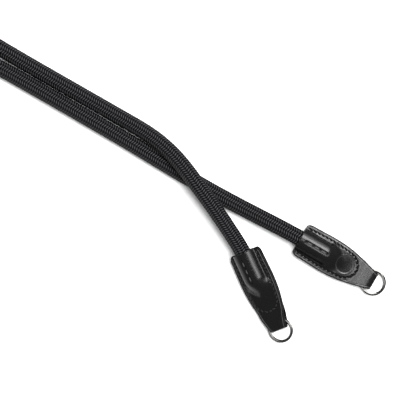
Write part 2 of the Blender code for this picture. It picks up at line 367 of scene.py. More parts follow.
def glossyLeather():
    material, tree, shader = newMaterial("glossyLeather", leather["colour"], leather["roughness"][0])
    shader.inputs["Coat Weight"].default_value = leather["coat"][0]
    shader.inputs["Coat Roughness"].default_value = leather["coat"][1]
    link = tree.links.new
    place = objectPoint(tree)
    skin = placeGroup(
        tree, grain, (-900, -300), place,
        **{"Pore Scale": 1900.0, "Pore Depth": 0.10, "Hill Scale": 190.0, "Hill Depth": 1.0},
    )
    marks = placeGroup(
        tree, wear, (-900, 300), place,
        **{"Scuff Scale": 1200.0, "Dust Cover": 0.26},
    )
    # a painted highlight on the crease, the slot's rim and round the disc
    rub = attributeValue(tree, "rub", (-900, 550))
    # real edge paint, and painted shade under the stitches, in the slot and round the disc
    paint = attributeValue(tree, "paint", (-900, 750))
    colour = mixColours(tree, (-600, 400), rub, leather["colour"], leather["highlightPaint"])
    lint = maths(tree, "MULTIPLY", (-600, 200), marks.outputs["Dust"], leather["lintCover"])
    dusted = mixColours(tree, (-350, 400), lint, colour, leather["lint"])
    painted = mixColours(tree, (-150, 400), paint, dusted, leather["edgeAndShadeColour"])
    link(painted, shader.inputs["Base Color"])
    gloss = mapRange(tree, (-350, 100), marks.outputs["Scuffs"], *leather["roughness"])
    matt = maths(tree, "MULTIPLY", (-350, -50), paint, leather["paintMatt"])
    link(maths(tree, "ADD", (-150, 50), gloss, matt), shader.inputs["Roughness"])
    bumpOnto(tree, shader, skin.outputs["Height"], 1.0, leather["bump"])
    return material


def cutLeatherEdge():
    material, tree, shader = newMaterial("cutLeatherEdge", leather["edgeAndShadeColour"], 0.55)
    place = objectPoint(tree)
    fibre = placeGroup(
        tree, grain, (-900, -300), place,
        **{"Pore Scale": 3000.0, "Pore Depth": 0.5, "Hill Scale": 700.0, "Hill Depth": 1.0},
    )
    mottle = fibre.outputs["Mottle"]
    colour = mixColours(tree, (-400, 300), mottle, *leather["fibre"])
    tree.links.new(colour, shader.inputs["Base Color"])
    gloss = mapRange(tree, (-400, 0), mottle, *leather["fibreRoughness"])
    tree.links.new(gloss, shader.inputs["Roughness"])
    bumpOnto(tree, shader, fibre.outputs["Height"], 0.6, 0.0001)
    return material


threads = {
    # darkest and lightest colour between the strands, roughness, specular
    "waxed": ((0.0015, 0.0015, 0.0015), (0.006, 0.006, 0.0065), (0.42, 0.62), 0.2),
    # the next two are the same black thread painted lighter, a painted highlight: on the centre floats,
    # and on the left tab's edge stitches
    "worn": ((0.032, 0.032, 0.033), (0.068, 0.068, 0.071), (0.36, 0.46), 0.5),
    "dusty": ((0.009, 0.009, 0.0095), (0.026, 0.026, 0.027), (0.36, 0.46), 0.5),
}


def sewingThread(kind):
    dark, light, gloss, specular = threads[kind]
    material, tree, shader = newMaterial(kind + "Thread", light, gloss[0])
    shader.inputs["Specular IOR Level"].default_value = specular
    strands = placeGroup(
        tree, grain, (-900, -300), objectPoint(tree),
        **{"Pore Scale": 4500.0, "Pore Depth": 0.6, "Hill Scale": 1500.0, "Hill Depth": 1.0},
    )
    mottle = strands.outputs["Mottle"]
    tree.links.new(mixColours(tree, (-400, 300), mottle, dark, light), shader.inputs["Base Color"])
    tree.links.new(mapRange(tree, (-400, 0), mottle, *gloss), shader.inputs["Roughness"])
    bumpOnto(tree, shader, strands.outputs["Height"], 0.7, 0.00012)
    return material


nickel = {
    "bright": (0.26, 0.257, 0.25),
    "dull": (0.17, 0.168, 0.163),
    "roughness": (0.08, 0.20),
    "bump": 0.00003,
}


def nickelPlate():
    material, tree, shader = newMaterial("nickelPlate", nickel["bright"], 0.18, 1.0)
    marks = placeGroup(
        tree, wear, (-900, 300), objectPoint(tree),
        **{"Scuff Scale": 1600.0, "Dust Cover": 0.22},
    )
    scuffs = marks.outputs["Scuffs"]
    colour = mixColours(tree, (-400, 300), scuffs, nickel["bright"], nickel["dull"])
    tree.links.new(colour, shader.inputs["Base Color"])
    gloss = mapRange(tree, (-400, 0), scuffs, *nickel["roughness"])
    tree.links.new(gloss, shader.inputs["Roughness"])
    bumpOnto(tree, shader, scuffs, 0.15, nickel["bump"])
    return material


sheathFinish = braidedSheath()
leatherFinish = glossyLeather()
edgeFinish = cutLeatherEdge()
waxedFinish = sewingThread("waxed")
paintedLitCentreFinish = sewingThread("worn")
paintedLitLeftFinish = sewingThread("dusty")
metalFinish = nickelPlate()
print("finishes made")


# the rope: a round braid on one long way from tab to tab

rope = {
    "diameter": 0.0104,
    "columns": 12,                     # of yarn crowns round the rope
    "pick": 0.00153,                   # from one crown to the next in a column
    "zigzag": 0.0009,                  # how far a crown leans along the rope from side to side
    "depth": 0.00030,                  # of the valleys between the crowns
    "crestHeights": (0.50, 0.90, 1.0, 0.90),      # across a column, shares of the depth
    "valleyHeights": (0.0, 0.06, 0.10, 0.06),
    "length": 0.9176,
    "exit": (-0.01489, 0.0264, 0.00781),
    "route": (
        (0.00489, 0.02616, 0.00691), (-0.00500, 0.02628, 0.00736), (-0.01489, 0.02640, 0.00781),
        (-0.0264, 0.0262, 0.00805), (-0.0414, 0.0256, 0.0070), (-0.0584, 0.0249, 0.0055),
        (-0.0764, 0.0245, 0.005), (-0.1044, 0.0247, 0.005), (-0.1344, 0.0254, 0.005),
        (-0.1664, 0.0257, 0.005), (-0.2004, 0.0258, 0.005), (-0.2324, 0.0255, 0.005),
        (-0.2624, 0.0231, 0.005), (-0.2904, 0.0153, 0.005), (-0.3164, 0.0021, 0.005),
        (-0.3414, -0.0141, 0.005), (-0.3624, -0.0283, 0.005), (-0.3869, -0.0367, 0.005),
        (-0.4089, -0.0319, 0.005), (-0.4249, -0.0163, 0.005), (-0.4309, 0.0052, 0.005),
        (-0.4249, 0.0267, 0.005), (-0.4089, 0.0423, 0.005), (-0.3859, 0.0483, 0.005),
        (-0.3564, 0.0467, 0.005), (-0.3144, 0.0417, 0.005), (-0.2724, 0.0379, 0.005),
        (-0.2324, 0.0364, 0.005), (-0.1944, 0.0362, 0.005), (-0.1684, 0.0362, 0.005),
        (-0.1464, 0.0362, 0.0059), (-0.1284, 0.0357, 0.0086), (-0.1124, 0.0330, 0.0124),
        (-0.0984, 0.0283, 0.0150), (-0.0864, 0.0230, 0.0155), (-0.0744, 0.0177, 0.0146),
        (-0.0624, 0.0120, 0.0132), (-0.0509, 0.0062, 0.01205),
        (-0.04159, 0.00095, 0.01117), (-0.03357, -0.00481, 0.01047), (-0.02555, -0.01058, 0.00978),
    ),
}


def ropeLine(points):
    # a natural cubic through the route's points: distances along it, and the places there
    points = np.array(points)
    knots = np.concatenate([[0.0], np.cumsum(np.linalg.norm(np.diff(points, axis=0), axis=1))])
    gaps = np.diff(knots)
    count = len(points)
    matrix = np.eye(count)
    change = np.zeros((count, 3))
    for i in range(1, count - 1):
        matrix[i, i - 1:i + 2] = (gaps[i - 1], 2 * (gaps[i - 1] + gaps[i]), gaps[i])
        ahead = (points[i + 1] - points[i]) / gaps[i]
        change[i] = 6 * (ahead - (points[i] - points[i - 1]) / gaps[i - 1])
    bend = np.linalg.solve(matrix, change)
    fine = []
    for i in range(count - 1):
        for u in np.linspace(0, gaps[i], 80, endpoint=False):
            v = gaps[i] - u
            fine.append(
                (bend[i] * v**3 + bend[i + 1] * u**3) / (6 * gaps[i])
                + (points[i] / gaps[i] - bend[i] * gaps[i] / 6) * v
                + (points[i + 1] / gaps[i] - bend[i + 1] * gaps[i] / 6) * u
            )
    fine.append(points[-1])
    fine = np.array(fine)
    along = np.concatenate([[0.0], np.cumsum(np.linalg.norm(np.diff(fine, axis=0), axis=1))])
    return along, fine


def braidedRope():
    # rows zigzag round the rope at the yarns' slant, a row of crowns and a row of valleys in turn
    along, fine = ropeLine(rope["route"])
    total = along[-1]
    rows = int(round(total / rope["pick"])) * 2
    pickLength = 2 * total / rows
    around = rope["columns"] * 4
    j = np.arange(around)
    column = j // 4
    x = (j % 4) / 4 - 0.5
    slant = np.where(column % 2 == 0, 1.0, -1.0) * x * rope["zigzag"]
    angle = 2 * math.pi * j / around
    tangents = np.gradient(fine, along, axis=0)
    onCrest = np.tile(rope["crestHeights"], rope["columns"])
    inValley = np.tile(rope["valleyHeights"], rope["columns"])
    rings = []
    for i in range(rows + 1):
        d = np.clip(i * pickLength / 2 + slant, 0.0, total)
        centre = np.stack([np.interp(d, along, fine[:, k]) for k in range(3)], axis=1)
        ahead = np.stack([np.interp(d, along, tangents[:, k]) for k in range(3)], axis=1)
        ahead /= np.linalg.norm(ahead, axis=1)[:, None]
        side = np.stack([-ahead[:, 1], ahead[:, 0], np.zeros(around)], axis=1)
        side /= np.linalg.norm(side, axis=1)[:, None]
        up = np.cross(ahead, side)
        high = onCrest if i % 2 == 0 else inValley
        radius = rope["diameter"] / 2 - rope["depth"] * (1 - high)
        turned = np.cos(angle)[:, None] * side + np.sin(angle)[:, None] * up
        rings.append(centre + radius[:, None] * turned)
    verts = np.concatenate(rings)
    faces, uvs = [], []
    for i in range(rows):
        for k in range(around):
            a = i * around + k
            b = i * around + (k + 1) % around
            faces.append((a, b, b + around, a + around))
            uvs += [k / 4, i / 2, (k + 1) / 4, i / 2, (k + 1) / 4, (i + 1) / 2, k / 4, (i + 1) / 2]
    faces.append(tuple(reversed(range(around))))
    faces.append(tuple(range(rows * around, (rows + 1) * around)))
    uvs += [0.0, 0.0] * (2 * around)
    mesh = bpy.data.meshes.new("ropeBraid")
    mesh.from_pydata(verts.tolist(), [], faces)
    mesh.uv_layers.new(name="braid").data.foreach_set("uv", uvs)
    mesh.materials.append(sheathFinish)
    mesh.shade_smooth()
    obj = bpy.data.objects.new("ropeBraid", mesh)
    bpy.context.scene.collection.objects.link(obj)
    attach(obj, "root")
    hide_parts("braided_rope")
    print("rope braided,", round(total, 4), "m,", len(faces), "faces")


braidedRope()


# the leather tabs

tab = {
    "leather": 0.0015,
    "ropeRadius": 0.005,
    "ropeClearance": 0.0004,
    "seamGap": 0.0003,
    "ropeRise": 0.0025,                # of the rope's middle over the seam
    "margin": 0.0037,
    "tipHalfWidth": 0.0055,
    "ropeInside": 0.0198,
    "tunnelFade": 0.0112,
    "tunnelNarrowing": 0.72,
    "stitchedFlat": 0.0066,
    "pocketRise": 0.0070,
    "foldReach": 0.0032,
    "underFillet": 0.0030,
    "edgeRound": 0.00042,
    "outline": (                       # share of the length, share from tip width to full width
        (0.0, 0.64), (0.018, 0.79), (0.046, 0.89), (0.11, 0.925), (0.24, 0.966),
        (0.38, 1.0), (0.52, 0.941), (0.63, 0.815), (0.73, 0.622), (0.80, 0.479),
        (0.87, 0.303), (0.926, 0.168), (0.963, 0.067), (1.0, 0.0),
    ),
    "rowGap": 0.0003,
    "foldRows": 28,
    "easeBefore": 0.0025,              # how far ahead of the nose the leather is drawn smooth
    "easeOver": 0.006,
    "easeTurns": 110,
}

ring = {
    "outer": 0.0082,
    "wireWidth": 0.0016,
    "wireHeight": 0.00085,
    "taper": 0.10,                     # how much narrower the wire is at its top and bottom
    "turnGap": 0.00015,
    "clearance": 0.0003,
    "slack": 0.0055,
    "jog": math.radians(26),
    "endGap": math.radians(4),
    "stepsEachTurn": 120,
}

# where each tab's mouth lies and how it is turned,
# where its ring's wire steps up and how far the ring has slid
places = {
    "right": {
        "mouth": (-0.0150, 0.0264, 0.0053118), "heading": -0.7, "dip": 2.6, "roll": 0.0,
        "jogAt": 190, "ringShift": (0.0, -0.0006),
    },
    "left": {
        "mouth": (-0.0411, 0.0019, 0.0089030), "heading": -35.7, "dip": 4.0, "roll": 25.0,
        "jogAt": 142, "ringShift": (0.0005, 0.00035),
    },
}

tunnelRadius = tab["ropeRadius"] + tab["ropeClearance"] + tab["leather"] / 2
seamOffset = tab["seamGap"] / 2 + tab["leather"] / 2
topFillet = tab["ropeRise"] - seamOffset
tunnelHalfWidth = tunnelRadius + topFillet
fullHalfWidth = tunnelHalfWidth + tab["margin"]
ringHeight = 2 * ring["wireHeight"] + ring["turnGap"]
pocketOffset = ringHeight / 2 + ring["clearance"] + tab["leather"] / 2
fadeStart = tab["ropeInside"] + tab["ropeClearance"]
fadeEnd = fadeStart + tab["tunnelFade"]
pocketStart = fadeEnd + tab["stitchedFlat"]
pocketFull = pocketStart + tab["pocketRise"]
ringCentre = pocketFull + ring["clearance"] + ring["outer"]
wireInside = ringCentre - ring["outer"] + ring["wireWidth"]
foldCentre = wireInside + ring["slack"] - tab["foldReach"] + tab["leather"] / 2
tabLength = foldCentre + tab["foldReach"] + tab["leather"] / 2


def tabPlace(side):
    spot = places[side]
    turn = (
        Matrix.Rotation(math.radians(spot["heading"]), 4, "Z")
        @ Matrix.Rotation(math.radians(spot["dip"]), 4, "Y")
        @ Matrix.Rotation(math.radians(spot["roll"]), 4, "X")
    )
    return Matrix.Translation(spot["mouth"]) @ turn


def halfWidth(s):
    shares, widths = zip(*tab["outline"])
    share = smoothCurve(s / tabLength, shares, widths)
    return tab["tipHalfWidth"] + share * (fullHalfWidth - tab["tipHalfWidth"])


# how the columns are spread from the crest to the edge:
# round the tunnel, down its fillet, over the margin
archShares = np.array([
    0, 4, 8, 11, 12.6, 14, 15.4, 17, 19.5, 23, 27, 31, 35, 40, 45, 50, 56, 62, 68, 74, 80, 85, 90,
]) / 90
filletShares = np.array([0.2, 0.4, 0.6, 0.8, 1.0])
marginShares = np.array([
    0.08, 0.16, 0.24, 0.32, 0.40, 0.48, 0.55, 0.60, 0.65,
    0.70, 0.75, 0.80, 0.85, 0.89, 0.93, 0.965, 0.985, 1.0,
])


def withMargin(t, n, start, edge, height):
    flat = np.full(len(marginShares), height)
    return np.append(t, start + marginShares * (edge - start)), np.append(n, flat)


def overProfile(edge, narrow, out):
    # the top layer's half section, (t, n) from the crest to the edge
    # out is how far outside the leather's middle the face lies
    a = math.pi / 2 * archShares
    f = math.pi / 2 * filletShares
    arch, fillet = tunnelRadius + out, topFillet - out
    t = np.concatenate([arch * np.sin(a), tunnelHalfWidth - fillet * np.cos(f)]) * narrow
    n = np.concatenate([tab["ropeRise"] + arch * np.cos(a), tab["ropeRise"] - fillet * np.sin(f)])
    return withMargin(t, n, narrow * tunnelHalfWidth, edge, seamOffset + out)


def underProfile(edge, narrow, out):
    # the same of the lower layer, which bulges less
    reach = tunnelRadius + tab["underFillet"]
    turn = math.acos((tab["ropeRise"] + seamOffset + tab["underFillet"]) / reach)
    a = turn * archShares
    f = turn * (1 - filletShares)
    arch, fillet = tunnelRadius + out, tab["underFillet"] - out
    t = np.concatenate([arch * np.sin(a), reach * math.sin(turn) - fillet * np.sin(f)]) * narrow
    foot = fillet * np.cos(f) - tab["underFillet"] - seamOffset
    n = np.concatenate([tab["ropeRise"] - arch * np.cos(a), foot])
    return withMargin(t, n, narrow * reach * math.sin(turn), edge, -seamOffset - out)


evenShares = overProfile(fullHalfWidth, 1.0, 0.0)[0] / fullHalfWidth


def layerRow(s, side, out):
    edge = float(halfWidth(s))
    fade = float(smoothStep((s - fadeStart) / tab["tunnelFade"]))
    spread = float(smoothStep((s - fadeEnd) / tab["stitchedFlat"]))
    pocket = float(smoothStep((s - pocketStart) / tab["pocketRise"]))
    flat = seamOffset + pocket * (pocketOffset - seamOffset) + out
    narrow = 1 - tab["tunnelNarrowing"] * fade**2
    t, n = overProfile(edge, narrow, out) if side > 0 else underProfile(edge, narrow, out)
    t = t + spread * (evenShares * edge - t)
    n = n + fade * (side * flat - n)
    return [(s, -a, b) for a, b in zip(t[:0:-1], n[:0:-1])] + [(s, a, b) for a, b in zip(t, n)]


def foldRow(angle, out):
    s = foldCentre + tab["foldReach"] * math.sin(angle)
    t = evenShares * float(halfWidth(s))
    s += out * math.sin(angle)
    n = (pocketOffset + out) * math.cos(angle)
    return [(s, -a, n) for a in t[:0:-1]] + [(s, a, n) for a in t]


def stripRows(out):
    # one strip from the mouth along the top, round the fold, and back underneath
    stations = np.linspace(0.0, foldCentre, int(foldCentre / tab["rowGap"]))
    rows = [layerRow(s, 1, out) for s in stations]
    rows += [foldRow(math.pi * k / tab["foldRows"], out) for k in range(1, tab["foldRows"])]
    rows += [layerRow(s, -1, out) for s in reversed(stations)]
    rows = np.array(rows)
    # the leather is drawn smooth where the tunnel runs out
    s = rows[:, :1, :1]
    ease = smoothStep((s - fadeStart + tab["easeBefore"]) / tab["easeOver"])
    ease = ease * (1 - smoothStep((s - fadeEnd) / tab["easeOver"]))
    for turn in range(tab["easeTurns"]):
        around = (rows[:-2, 1:-1] + rows[2:, 1:-1] + rows[1:-1, :-2] + rows[1:-1, 2:]) / 4
        rows[1:-1, 1:-1] += ease[1:-1] * (around - rows[1:-1, 1:-1])
    return rows


# the U of edge stitches, the slot of centre stitches and the pressed disc,
# all measured from the mouth along the tab

stitching = {
    "pitch": 0.00278,
    "sides": (
        (0.0018, 0.0081), (0.010, 0.0087), (0.018, 0.0090), (0.026, 0.00875), (0.0323, 0.0082),
    ),
    "arcCentre": 0.0323,
    "arcRadius": 0.0082,
    "channelWidth": 0.0010,
    "channelDepth": 0.00016,
    "stitchLength": 0.0018,
    "slant": math.radians(-22),
    "slotStart": 0.0028,
    "slotEnd": 0.0203,
    "slotWidth": 0.0027,
    "slotDepth": {"right": 0.00045, "left": 0.00012},
    "holes": (0.0041, 0.0091, 0.0141, 0.0190),
}

disc = {
    "centre": 0.0323,
    "radius": 0.0056,
    "depth": 0.00024,
    "lip": 0.0005,
    # of the rings round it: how far out from the edge, how wide, how high, how strong their painted
    # highlight or painted shade
    "groove": (-0.0003, 0.0007, -0.00010),
    "swell": (0.0004, 0.0008, 0.00010),
    "highlightPaint": (-0.0001, 0.0006, 0.55),
    "dark": (0.0007, 0.0009, 0.8),
}

relief = {
    "ridge": (0.00105, 0.0010, 0.00005),          # beside the channel: how far off, width, height
    "pull": (0.0011, 0.00035),         # at each stitch's two ends: width, depth
    "shade": (0.0005, 0.0014),         # painted shade under a stitch: half length, width
    "centreHole": (0.0018, 0.00060),   # width, depth
    "slotRim": (-0.0002, 0.0007),      # how far inside the slot's edge, width
    "slotRimRise": 0.1,                # share of the slot's depth
    "slotRimHighlight": 160,                 # painted highlight on the rim, for each metre of the slot's depth
    "slotFloorShade": (-0.00015, 0.0004),    # where the painted shade on the slot's floor begins, how softly
    "crease": (0.00120, 0.0005, 0.00012),         # how far from the edge, width, depth
    "creaseHighlight": (0.0006, 0.75),       # of the painted highlight along the crease: width, strength
    "cornerFree": (0.0012, 0.0008),    # the crease keeps clear of the mouth
    "painted": (0.00055, 0.0003),      # width of the painted edge, how softly it ends
    "droop": (0.0068, 0.0050, 0.00050),           # of the side flaps: from the middle, over, depth
    "droopEnds": (0.030, 0.012),
    "dip": (0.029, 0.009, 0.0395, 0.0120, 0.00060),  # of the flat part: where, how far, depth
}


def stitchLine():
    # the U as closely spaced points: down one side, round the arc, back along the other
    xs, ys = zip(*stitching["sides"])
    s = np.linspace(xs[0], xs[-1], 120)
    t = smoothCurve(s, xs, ys)
    a = np.linspace(math.pi / 2, -math.pi / 2, 120)[1:-1]
    arc = np.stack([
        stitching["arcCentre"] + stitching["arcRadius"] * np.cos(a),
        stitching["arcRadius"] * np.sin(a),
    ], axis=1)
    return np.concatenate([np.stack([s, t], 1), arc, np.stack([s[::-1], -t[::-1]], 1)])


def fromLine(s, t, line):
    # distance in plan from each point to the stitch line
    best = np.full(s.shape, 1.0)
    for a, b in zip(line[:-1], line[1:]):
        step = b - a
        u = np.clip(((s - a[0]) * step[0] + (t - a[1]) * step[1]) / (step @ step), 0.0, 1.0)
        best = np.minimum(best, np.hypot(s - a[0] - u * step[0], t - a[1] - u * step[1]))
    return best


def stitchSpots(line):
    # (s, t, direction) of each stitch at even steps along the U
    along = np.concatenate([[0.0], np.cumsum(np.linalg.norm(np.diff(line, axis=0), axis=1))])
    count = int(round(along[-1] / stitching["pitch"]))
    middles = (np.arange(count) + 0.5) * along[-1] / count
    spots = []
    for d in middles:
        before = [np.interp(d - 0.0004, along, line[:, k]) for k in (0, 1)]
        after = [np.interp(d + 0.0004, along, line[:, k]) for k in (0, 1)]
        heading = math.atan2(after[1] - before[1], after[0] - before[0])
        spots.append(((before[0] + after[0]) / 2, (before[1] + after[1]) / 2, heading))
    return spots


def slotShape(s, t):
    # 1 along the middle of the slot's rounded floor, 0 outside it
    half = stitching["slotWidth"] / 2
    a, b = stitching["slotStart"] + half, stitching["slotEnd"] - half
    beyond = np.maximum(np.maximum(a - s, s - b), 0.0)
    inside = half - np.hypot(beyond, t)
    return 1 - (1 - np.clip(inside / half, 0.0, 1.0)) ** 2, inside


def surfaceRelief(s, t, top, side):
    # how far the outer face rises or sinks, where a highlight is painted on it, and where it gets edge
    # paint or painted shade
    line = stitchLine()
    fromEdge = halfWidth(s) - np.abs(t)
    fromStitches = fromLine(s, t, line)

    rise = -stitching["channelDepth"] * bump(fromStitches, stitching["channelWidth"])
    off, width, height = relief["ridge"]
    rise += height * bump(fromStitches - off, width)
    painted, soft = relief["painted"]
    paint = 1 - smoothStep((fromEdge - painted) / soft)
    halfLength, shadeWidth = relief["shade"]
    pullWidth, pullDepth = relief["pull"]
    for a, b, heading in stitchSpots(line):
        lie = heading + stitching["slant"]
        ahead = (s - a) * math.cos(lie) + (t - b) * math.sin(lie)
        aside = (t - b) * math.cos(lie) - (s - a) * math.sin(lie)
        beyond = np.maximum(np.abs(ahead) - halfLength, 0.0)
        # painted shade under the stitch
        paint = np.maximum(paint, bump(np.hypot(beyond, aside), shadeWidth))
        for end in (-1, 1):
            reach = stitching["stitchLength"] / 2 * end
            hole = np.hypot(s - a - reach * math.cos(lie), t - b - reach * math.sin(lie))
            rise -= pullDepth * bump(hole, pullWidth)

    inSlot, inside = slotShape(s, t)
    depth = stitching["slotDepth"][side]
    off, width = relief["slotRim"]
    rim = bump(inside - off, width)
    rise += depth * (relief["slotRimRise"] * rim - inSlot)
    width, holeDepth = relief["centreHole"]
    for hole in stitching["holes"]:
        rise -= holeDepth * bump(np.hypot(s - hole, t), width)
    # painted shade on the slot's floor
    off, soft = relief["slotFloorShade"]
    paint = np.maximum(paint, smoothStep((inside - off) / soft))

    off, width, creaseDepth = relief["crease"]
    start, soft = relief["cornerFree"]
    corner = smoothStep((s - start) / soft)
    rise -= creaseDepth * bump(fromEdge - off, width) * corner
    # a painted highlight along the crease and on the slot's rim
    width, strength = relief["creaseHighlight"]
    rub = strength * bump(fromEdge - off, width) * corner + relief["slotRimHighlight"] * depth * rim

    if side == "right":
        fromDisc = np.hypot(s - disc["centre"], t) - disc["radius"]
        rise -= disc["depth"] * (1 - smoothStep((fromDisc + disc["lip"]) / disc["lip"])) * top
        for off, width, height in (disc["groove"], disc["swell"]):
            rise += height * bump(fromDisc - off, width) * top
        # a painted highlight ring round the disc
        off, width, strength = disc["highlightPaint"]
        rub = np.maximum(rub, strength * bump(fromDisc - off, width) * top)
        # a ring of painted shade just outside the disc
        off, width, strength = disc["dark"]
        paint = np.maximum(paint, strength * bump(fromDisc - off, width) * top)

    start, over, drop = relief["droop"]
    end, soft = relief["droopEnds"]
    rise -= drop * smoothStep((np.abs(t) - start) / over) * (1 - smoothStep((s - end) / soft))
    start, over, end, soft, drop = relief["dip"]
    rise -= drop * smoothStep((s - start) / over) * (1 - smoothStep((s - end) / soft))
    rounded = tab["edgeRound"]
    near = np.clip(rounded - fromEdge, 0.0, rounded)
    rise -= rounded - np.sqrt(rounded**2 - near**2)
    return rise, np.clip(rub, 0.0, 1.0), paint


def leatherTab(side):
    # a grid laid along the strip: Solidify gives it its second face, then both faces go to their places
    outer = stripRows(tab["leather"] / 2)
    inner = stripRows(-tab["leather"] / 2)
    long, across = len(outer), len(outer[0])
    bpy.ops.object.select_all(action="DESELECT")
    bpy.ops.mesh.primitive_grid_add(x_subdivisions=long - 1, y_subdivisions=across - 1, size=1)
    obj = bpy.context.object
    obj.name = "leatherTab" + side.title()
    obj.data.name = obj.name
    obj.data.materials.append(leatherFinish)
    obj.data.materials.append(edgeFinish)
    count = len(obj.data.vertices)
    flat = np.zeros(count * 3)
    obj.data.vertices.foreach_get("co", flat)
    i = np.rint((flat[0::3] + 0.5) * (long - 1)).astype(int)
    k = np.rint((flat[1::3] + 0.5) * (across - 1)).astype(int)
    faces = outer[i, k]
    obj.data.vertices.foreach_set("co", faces.ravel())
    obj.data.update()
    normals = np.zeros(count * 3)
    obj.data.vertex_normals.foreach_get("vector", normals)
    normals = normals.reshape(-1, 3)
    wall = obj.modifiers.new("Wall", "SOLIDIFY")
    wall.thickness = tab["leather"]
    wall.offset = -1.0
    wall.material_offset_rim = 1
    applyModifiers(obj)
    mesh = obj.data
    onTop = i < np.argmax(outer[:, 0, 0])
    rise, rub, paint = surfaceRelief(faces[:, 0], faces[:, 1], onTop, side)
    both = np.concatenate([faces + normals * rise[:, None], inner[i, k]])
    mesh.vertices.foreach_set("co", both.ravel())
    pointValues(mesh, "rub", np.append(rub, np.zeros(count)))
    pointValues(mesh, "paint", np.append(paint, np.ones(count)))
    mesh.transform(tabPlace(side))
    mesh.update()
    pick(obj)
    bpy.ops.object.shade_smooth_by_angle(angle=math.radians(50))
    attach(obj, "root")
    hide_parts("leather_tab_" + side)
    print(obj.name, "shaped,", len(mesh.polygons), "faces")


for side in places:
    leatherTab(side)


# the stitches: one length of thread of each kind, copied into every pair of holes

stitches = {
    # length, width, height, how far the ends dive into the leather, thread
    "edge": (0.0020, 0.00105, 0.00062, 0.00042, waxedFinish),
    # the left tab's edge stitch, in the black thread painted lighter as a painted highlight
    "dusty": (0.0020, 0.00084, 0.00062, 0.00042, paintedLitLeftFinish),
    "centre": (0.0046, 0.0011, 0.00080, 0.00105, paintedLitCentreFinish),
    "thin": (0.0044, 0.0007, 0.00075, 0.00105, paintedLitCentreFinish),
}
standing = {"edge": 0.00006, "centreOver": 0.00018, "centreUnder": 0.00010}  # how proud they lie

def oneStitch(kind):
    length, width, height, sink, thread = stitches[kind]
    bpy.ops.object.select_all(action="DESELECT")
    bpy.ops.mesh.primitive_cylinder_add(
        vertices=8, radius=0.5, depth=1.0, end_fill_type="NGON", rotation=(0, math.pi / 2, 0),
    )
    stitch = bpy.context.object
    stitch.name = kind + "Stitch"
    bpy.ops.object.transform_apply(location=True, rotation=True, scale=True)
    bpy.ops.object.mode_set(mode="EDIT")
    for share in (-0.38, -0.2, 0.0, 0.2, 0.38):
        bpy.ops.mesh.select_all(action="SELECT")
        bpy.ops.mesh.bisect(plane_co=(share, 0, 0), plane_no=(1, 0, 0))
    bpy.ops.object.mode_set(mode="OBJECT")
    for vertex in stitch.data.vertices:
        x, y, z = vertex.co
        full = math.sqrt(max(1 - (2 * abs(x)) ** 3, 0.12))
        vertex.co = (x * length, y * width * full, z * height * full - sink * (2 * abs(x)) ** 2.2)
    stitch.data.materials.append(thread)
    pick(stitch)
    bpy.ops.object.shade_smooth_by_angle(angle=math.radians(60))
    return stitch


def copiesAt(model, name, matrices):
    # copies of one model, each with its own mesh, joined into one piece
    copies = []
    for matrix in matrices:
        other = model.copy()
        other.data = model.data.copy()
        other.data.transform(matrix)
        bpy.context.scene.collection.objects.link(other)
        copies.append(other)
    bpy.ops.object.select_all(action="DESELECT")
    for other in copies:
        other.select_set(True)
    bpy.context.view_layer.objects.active = copies[0]
    bpy.ops.object.join()
    copies[0].name = name
    copies[0].data.name = name
    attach(copies[0], "root")
    return copies[0]


# the left tab's edge stitches take the thread painted lighter, a painted highlight
edgeStitch = {"right": oneStitch("edge"), "left": oneStitch("dusty")}
centreStitch = {"right": oneStitch("centre"), "left": oneStitch("thin")}
faceHeight = seamOffset + tab["leather"] / 2
crestHeight = tab["ropeRise"] + tunnelRadius + tab["leather"] / 2
troughHeight = tab["ropeRise"] - tunnelRadius - tab["leather"] / 2
turnOver = Matrix.Rotation(math.pi, 4, "X")
for side in places:
    base = tabPlace(side)
    around, middle = [], []
    slant = stitching["slant"]
    z = faceHeight + standing["edge"]
    for s, t, heading in stitchSpots(stitchLine()):
        onTop = Matrix.Translation((s, t, z)) @ Matrix.Rotation(heading + slant, 4, "Z")
        below = Matrix.Translation((s, t, -z)) @ Matrix.Rotation(heading - slant, 4, "Z")
        around += [base @ onTop, base @ below @ turnOver]
    depth = stitching["slotDepth"][side]
    for a, b in zip(stitching["holes"][:-1], stitching["holes"][1:]):
        s = (a + b) / 2
        onTop = Matrix.Translation((s, 0, crestHeight - depth + standing["centreOver"]))
        below = Matrix.Translation((s, 0, troughHeight + depth - standing["centreUnder"]))
        middle += [base @ onTop, base @ below @ turnOver]
    copiesAt(edgeStitch[side], "edgeStitches" + side.title(), around)
    copiesAt(centreStitch[side], "centreStitches" + side.title(), middle)
for model in [*edgeStitch.values(), *centreStitch.values()]:
    bpy.data.objects.remove(model)
print("stitches sewn")


# the split rings: flat wire spun twice round, then lifted where it climbs onto its own first turn

